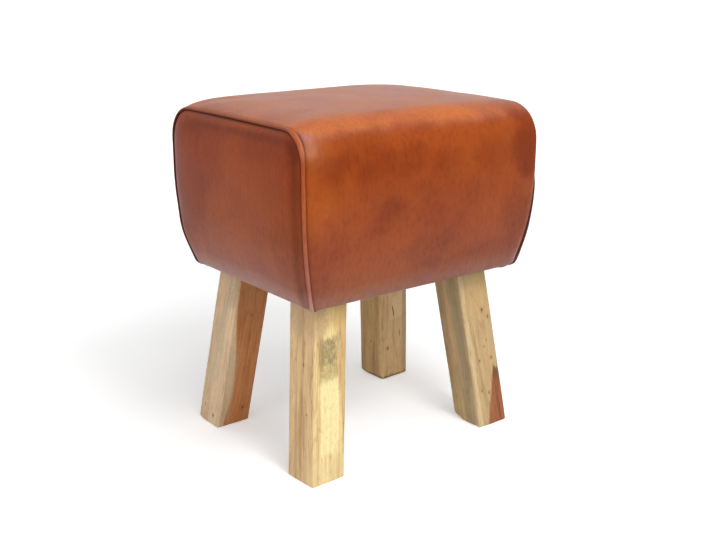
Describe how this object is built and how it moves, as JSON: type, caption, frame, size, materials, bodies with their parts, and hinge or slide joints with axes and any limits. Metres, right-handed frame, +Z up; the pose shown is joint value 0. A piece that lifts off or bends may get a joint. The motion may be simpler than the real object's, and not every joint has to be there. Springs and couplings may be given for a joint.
{
  "type": "leather stool",
  "caption": "Low leather-covered box seat with crowned top, drawn-in sides and piped end seams, on splayed square solid wood legs.",
  "frame": {"origin": "on the floor, under the middle of the seat", "axes": "+Z up, X along the seat's length with the end panels at -X and +X, front at -Y"},
  "size_m": [0.3828, 0.306, 0.4501],
  "materials": {
    "cognac_leather": "burnished semi-aniline leather, cognac tan with darker mottling and a soft sheen",
    "piping_leather": "the same leather, darker in the fold of the piping",
    "mango_wood": "solid mango wood, planed and left near raw, cream to brown with dark streaks and knots",
    "frame_plywood": "unfinished plywood and softwood battens",
    "foam": "cut polyurethane foam",
    "cord": "twisted cotton piping cord",
    "dust_cloth": "thin black non-woven cloth",
    "zinc_steel": "zinc-plated screws, washers and staples"
  },
  "bodies": {
    "root": {"wrap_panel": "cognac_leather", "end_panel_left": "cognac_leather", "end_panel_right": "cognac_leather", "piping_cover_left": "piping_leather", "piping_cover_right": "piping_leather", "piping_cord_left": "cord", "piping_cord_right": "cord", "leg_front_left": "mango_wood", "leg_front_right": "mango_wood", "leg_back_left": "mango_wood", "leg_back_right": "mango_wood", "base_board": "frame_plywood", "seat_board": "frame_plywood", "front_rail": "frame_plywood", "back_rail": "frame_plywood", "end_rail_left": "frame_plywood", "end_rail_right": "frame_plywood", "centre_rib": "frame_plywood", "corner_block_front_left": "frame_plywood", "corner_block_front_right": "frame_plywood", "corner_block_back_left": "frame_plywood", "corner_block_back_right": "frame_plywood", "seat_foam": "foam", "front_foam": "foam", "back_foam": "foam", "end_foam_left": "foam", "end_foam_right": "foam", "dust_cover": "dust_cloth", "leg_screws": "zinc_steel", "leg_screw_washers": "zinc_steel", "rail_screws": "zinc_steel", "seat_board_screws": "zinc_steel", "base_board_screws": "zinc_steel", "leather_staples": "zinc_steel", "dust_cover_staples": "zinc_steel"}
  },
  "joints": []
}
